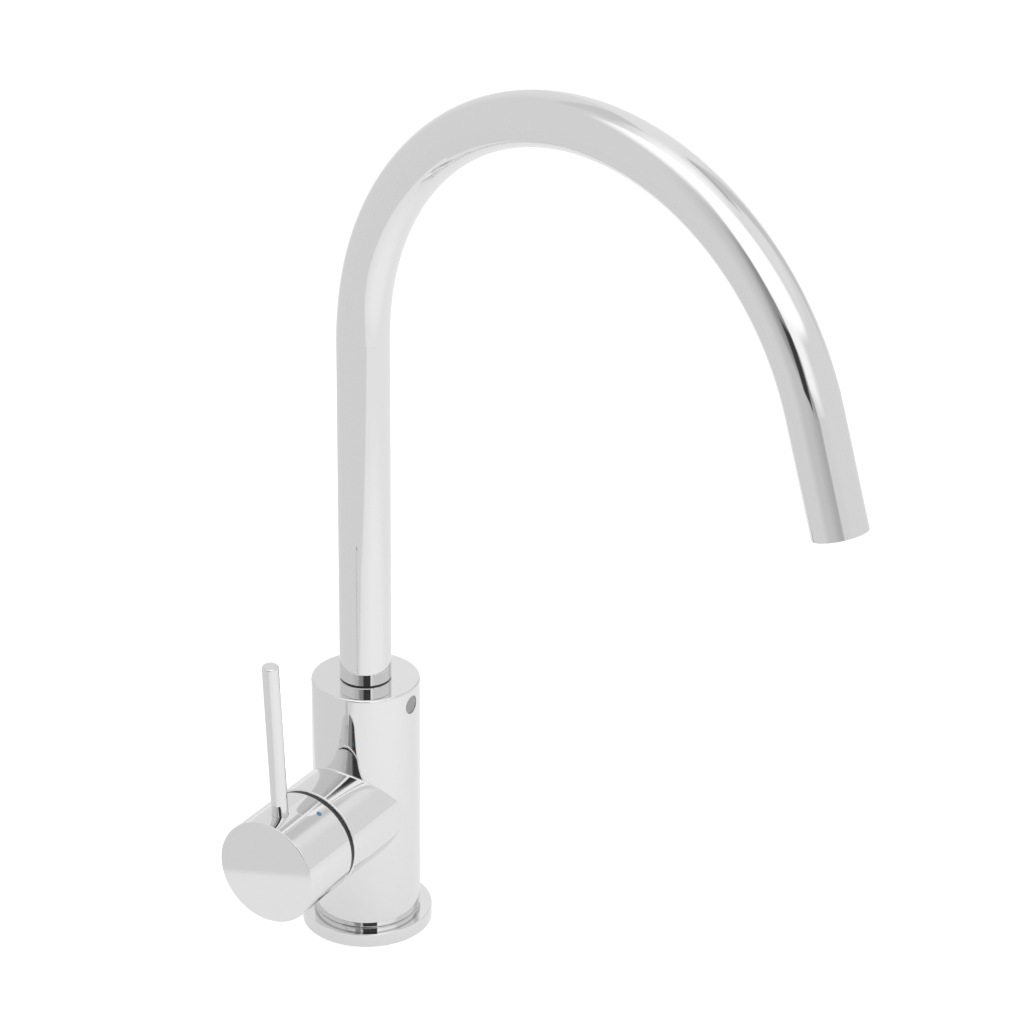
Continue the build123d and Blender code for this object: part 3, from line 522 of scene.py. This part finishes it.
shank = turned_ring((
    (shank_bore, shank_low[2]), (thread_floor - shank_bevel / 4, shank_low[2]),
    (thread_floor, shank_low[2] + shank_bevel), (thread_floor, shank_high[2]), (shank_bore, shank_high[2]),
))
ridge_foot = thread_floor - ridge_sink
ridge_start = shank_low[2] + thread_pitch
ridge_turns = int((shank_high[2] - ridge_start) / thread_pitch) - 1
ridge_profile = (
    (ridge_foot, -ridge_half_foot), (shank_radius, -thread_crest / 2),
    (shank_radius, thread_crest / 2), (ridge_foot, ridge_half_foot),
)
ridge_corners = [shank.verts.new((radius, 0, ridge_start + height)) for radius, height in ridge_profile]
ridge_end = shank.faces.new(ridge_corners)
bmesh.ops.spin(
    shank, geom=[ridge_end], cent=(0, 0, 0), axis=(0, 0, 1), dvec=(0, 0, thread_pitch / thread_steps),
    angle=2 * pi * ridge_turns, steps=thread_steps * ridge_turns,
)
bmesh.ops.recalc_face_normals(shank, faces=shank.faces)

turned_brass, tree, shader, place = new_finish("turned_brass", Metallic=1.0)
cut = use_group(tree, tool_marks, place, Pitch=0.00025, Bright=0.20, Dull=0.36)
brass_shade = mix_colours(tree, cut["Shade"], (0.80, 0.62, 0.32, 1), (0.62, 0.44, 0.20, 1))
tree.links.new(brass_shade, shader.inputs["Base Color"])
tree.links.new(cut["Roughness"], shader.inputs["Roughness"])
press_bump(tree, shader, cut["Height"], 0.000004)
new_piece("shank_thread", shank, turned_brass, "column", "threaded_shank")

# ---- The clamp under the worktop ----
# A rubber washer, a zinc plated steel washer and a brass hexagon nut. The nut is turned from bar with
# both faces chamfered, and a round collar on it bears on the steel washer.

nut_low, nut_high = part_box("clamp_nut")
nut_half_flats = 0.0205
nut_corner = nut_half_flats / cos(radians(30))
nut_collar_height = 0.002
nut_collar_start = nut_high[2] - nut_collar_height
thread_clearance = 0.00008
nut_bore = shank_radius + thread_clearance
nut_lead = 0.0008
chamfer_share = 0.97
chamfer_slope = 0.577
chamfer_start = nut_half_flats * chamfer_share
chamfer_rise = (nut_corner - chamfer_start) * chamfer_slope
nut_back_land = 0.001
nut_collar_radius = 0.024
nut_collar_bevel = 0.0003
collar_land = nut_collar_radius - nut_collar_bevel

nut = turned_ring((
    (nut_bore + nut_lead, nut_low[2]), (chamfer_start, nut_low[2]),
    (nut_corner, nut_low[2] + chamfer_rise),
    (nut_corner, nut_collar_start - chamfer_rise / 2), (chamfer_start + nut_back_land, nut_collar_start),
    (nut_bore, nut_collar_start), (nut_bore, nut_low[2] + nut_lead),
))
for flat in range(6):
    outward = Matrix.Rotation(flat * pi / 3 + pi / 6, 3, "Z") @ Vector((1, 0, 0))
    cut_flat = bmesh.ops.bisect_plane(
        nut, geom=nut.verts[:] + nut.edges[:] + nut.faces[:], dist=0.0000001,
        plane_co=outward * nut_half_flats, plane_no=outward, clear_outer=True,
    )
    rim = [item for item in cut_flat["geom_cut"] if isinstance(item, bmesh.types.BMEdge)]
    bmesh.ops.edgeloop_fill(nut, edges=rim)
collar_profile = (
    (nut_bore, nut_collar_start), (collar_land, nut_collar_start),
    (nut_collar_radius, nut_collar_start + nut_collar_bevel),
    (nut_collar_radius, nut_high[2] - nut_collar_bevel),
    (collar_land, nut_high[2]), (nut_bore, nut_high[2]),
)
collar = turned_ring(collar_profile)
collar_data = bpy.data.meshes.new("nut_collar")
collar.to_mesh(collar_data)
collar.free()
nut.from_mesh(collar_data)
bpy.data.meshes.remove(collar_data)
bmesh.ops.recalc_face_normals(nut, faces=nut.faces)
new_piece("hexagon_nut", nut, turned_brass, "nut", "clamp_nut")

put_on(rubber, "clamp_rubber_washer")

zinc_steel, tree, shader, place = new_finish("zinc_steel", Metallic=1.0)
pressed = use_group(tree, moulding, place, Bright=0.30, Dull=0.46, Grain=900.0)
spangle_feeds = {"Vector": place, "Scale": 260.0}
spangles = add_node(tree, "ShaderNodeTexVoronoi", spangle_feeds).outputs["Distance"]
zinc_shade = mix_colours(tree, spangles, (0.60, 0.61, 0.63, 1), (0.74, 0.74, 0.73, 1))
tree.links.new(zinc_shade, shader.inputs["Base Color"])
tree.links.new(pressed["Roughness"], shader.inputs["Roughness"])
press_bump(tree, shader, pressed["Height"], 0.00001)
put_on(zinc_steel, "clamp_steel_washer")

# ---- The status window ----
# A smooth grey plastic window in the column's front, sealed by a rubber ring and held off a small round
# circuit board by a black ring. A lamp on the board shines through it when the filter needs changing.

window_grey, tree, shader, place = new_finish("smoked_window", Coat_Weight=1.0, Coat_Roughness=0.02)
pressed = use_group(tree, moulding, place, Bright=0.18, Dull=0.24, Grain=4000.0)
window_shade = mix_colours(tree, pressed["Shade"], (0.225, 0.225, 0.228, 1), (0.245, 0.245, 0.248, 1))
tree.links.new(window_shade, shader.inputs["Base Color"])
tree.links.new(pressed["Roughness"], shader.inputs["Roughness"])
press_bump(tree, shader, pressed["Height"], 0.000001)
put_on(window_grey, "indicator_lens")
put_on(rubber, "indicator_seal")

holder_black = moulded_finish(
    "holder_plastic", (0.035, 0.035, 0.038, 1), (0.05, 0.05, 0.052, 1), 0.38, 0.5, 2600.0, 0.000008,
)
put_on(holder_black, "indicator_holder")

laminate, tree, shader, place = new_finish("board_laminate", Coat_Weight=0.6, Coat_Roughness=0.12)
pressed = use_group(tree, moulding, place, Bright=0.32, Dull=0.42, Grain=1800.0)
track_feeds = {"Vector": place, "Scale": 1100.0, "Distortion": 2.0}
tracks = add_node(tree, "ShaderNodeTexWave", track_feeds).outputs["Fac"]
copper_share = soft_step(tree, tracks, 0.80, 0.86)
board_shade = mix_colours(tree, copper_share, (0.02, 0.13, 0.055, 1), (0.05, 0.24, 0.09, 1))
tree.links.new(board_shade, shader.inputs["Base Color"])
tree.links.new(pressed["Roughness"], shader.inputs["Roughness"])
press_bump(tree, shader, tracks, 0.00002)
put_on(laminate, "indicator_board")

lamp_resin = moulded_finish(
    "lamp_resin", (0.80, 0.83, 0.80, 1), (0.88, 0.90, 0.86, 1), 0.08, 0.15, 1500.0, 0.000002,
)
put_on(lamp_resin, "indicator_lamp")

# ---- The cartridge ----
# It sits in the branch: a white plastic foot and cup round two lapped ceramic discs, rubber rings at
# the ports, a brass spindle and a brass ring nut. A dark ring covers the nut in the gap by the hub.

cartridge_white = moulded_finish(
    "cartridge_plastic", (0.74, 0.74, 0.71, 1), (0.80, 0.80, 0.78, 1), 0.34, 0.48, 2200.0, 0.00001,
)
put_on(cartridge_white, "cartridge_base", "cartridge_housing")
put_on(rubber, "cartridge_port_seals", "spindle_seal")

ceramic, tree, shader, place = new_finish("alumina", Coat_Weight=0.3, Coat_Roughness=0.08)
pressed = use_group(tree, moulding, place, Bright=0.16, Dull=0.28, Grain=5000.0)
speckle_feeds = {"Vector": place, "Scale": 4200.0, "Detail": 1.0}
speckles = add_node(tree, "ShaderNodeTexNoise", speckle_feeds).outputs["Fac"]
speckled = soft_step(tree, speckles, 0.62, 0.70)
ceramic_shade = mix_colours(tree, speckled, (0.88, 0.87, 0.82, 1), (0.76, 0.74, 0.69, 1))
tree.links.new(ceramic_shade, shader.inputs["Base Color"])
tree.links.new(pressed["Roughness"], shader.inputs["Roughness"])
press_bump(tree, shader, pressed["Height"], 0.000002)
put_on(ceramic, "fixed_ceramic_disc", "moving_ceramic_disc")
put_on(turned_brass, "cartridge_spindle", "cartridge_nut")

slip_dark = moulded_finish(
    "slip_plastic", (0.020, 0.020, 0.021, 1), (0.034, 0.034, 0.035, 1), 0.28, 0.40, 2400.0, 0.000005,
)
put_on(slip_dark, "branch_cover_ring")

# ---- The handle ----
# Hub and pin lever are turned brass, polished and chrome plated outside. The lever screws into the hub,
# a hidden grub screw holds the hub on the spindle, and two enamel marks are let into it.

hub_low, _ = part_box("handle_hub")
hub_inside = 0.0198
hub_end_wall = 0.0029

hub_chrome, tree, shader, place = new_finish("hub_chrome", Metallic=1.0)
buffed = use_group(tree, polish, place, Bright=0.025, Dull=0.055)
hub_parts = add_node(tree, "ShaderNodeSeparateXYZ", {0: place}).outputs
hub_level = add_math(tree, "SUBTRACT", hub_parts[2], branch_height)
hub_place = add_node(tree, "ShaderNodeCombineXYZ", {1: hub_parts[1], 2: hub_level}).outputs[0]
from_axis = add_node(tree, "ShaderNodeVectorMath", {0: hub_place}, operation="LENGTH").outputs["Value"]
in_hub = add_math(tree, "LESS_THAN", from_axis, hub_inside)
behind_end = add_math(tree, "GREATER_THAN", hub_parts[0], hub_low[0] + hub_end_wall)
in_hub = add_math(tree, "MULTIPLY", in_hub, behind_end)
tree.links.new(mix_colours(tree, in_hub, chrome_grey, brass_yellow), shader.inputs["Base Color"])
machined = mix_values(tree, in_hub, buffed["Roughness"], bare_rough)
tree.links.new(machined, shader.inputs["Roughness"])
press_bump(tree, shader, buffed["Height"], polish_depth)
put_on(hub_chrome, "handle_hub")
put_on(chrome, "pin_lever", "hub_screw_plug", "rear_screw_plug")

screw_steel, tree, shader, place = new_finish("screw_steel", Metallic=1.0)
cut = use_group(tree, tool_marks, place, Pitch=0.00018, Bright=0.22, Dull=0.34)
steel_shade = mix_colours(tree, cut["Shade"], (0.50, 0.50, 0.51, 1), (0.40, 0.40, 0.41, 1))
tree.links.new(steel_shade, shader.inputs["Base Color"])
tree.links.new(cut["Roughness"], shader.inputs["Roughness"])
press_bump(tree, shader, cut["Height"], 0.000004)
put_on(screw_steel, "hub_grub_screw", "spout_retaining_screw")


def enamel_finish(name, colour, thick):
    """Fired enamel under a clear gloss, a little deeper in colour where it lies thicker."""
    finish, tree, shader, place = new_finish(name, Coat_Weight=1.0, Coat_Roughness=0.03)
    pressed = use_group(tree, moulding, place, Bright=0.16, Dull=0.26, Grain=1800.0)
    tree.links.new(mix_colours(tree, pressed["Shade"], colour, thick), shader.inputs["Base Color"])
    tree.links.new(pressed["Roughness"], shader.inputs["Roughness"])
    press_bump(tree, shader, pressed["Height"], 0.000004)
    return finish


blue_enamel = enamel_finish("blue_enamel", (0.07, 0.23, 0.40, 1), (0.05, 0.19, 0.34, 1))
red_enamel = enamel_finish("red_enamel", (0.42, 0.022, 0.016, 1), (0.30, 0.014, 0.012, 1))
put_on(blue_enamel, "index_dot_blue")
put_on(red_enamel, "index_dot_red")

# ---- The spout ----
# The foot is a turned brass plug whose spigot turns in the column on two split bushes and two rubber
# rings. The tube, a 22 mm brass tube bent on a mandrel, is soldered on it and polished and plated.

put_on(slip_dark, "spout_slip_ring")
put_on(chrome, "spout_foot", "spout_tube")

bush_plastic = moulded_finish(
    "bush_plastic", (0.16, 0.16, 0.165, 1), (0.21, 0.21, 0.215, 1), 0.36, 0.5, 2400.0, 0.00001,
)
put_on(bush_plastic, "swivel_bushes")
put_on(rubber, "spout_seals", "inner_tube_seal")

# ---- The filtered water's way ----
# A white food safe tube runs through the spout and ends in a plastic nozzle in the middle of the
# outlet, so that filtered water never meets the mixed water.

tube_white = moulded_finish(
    "water_tube", (0.78, 0.79, 0.78, 1), (0.84, 0.85, 0.84, 1), 0.26, 0.36, 2000.0, 0.000006,
)
put_on(tube_white, "filtered_water_tube")
put_on(cartridge_white, "filtered_nozzle")

# ---- The aerator ----
# A chromed ring just inside the tube's end holds a grey plastic screen with rows of fine holes, a block
# with mixing channels behind it, and a rubber ring that seals it against the tube.

aerator_grey = moulded_finish(
    "aerator_plastic", (0.42, 0.43, 0.44, 1), (0.50, 0.51, 0.52, 1), 0.34, 0.46, 2600.0, 0.000008,
)
put_on(chrome, "aerator_housing")
put_on(aerator_grey, "aerator_screen", "aerator_insert")
put_on(rubber, "aerator_washer")
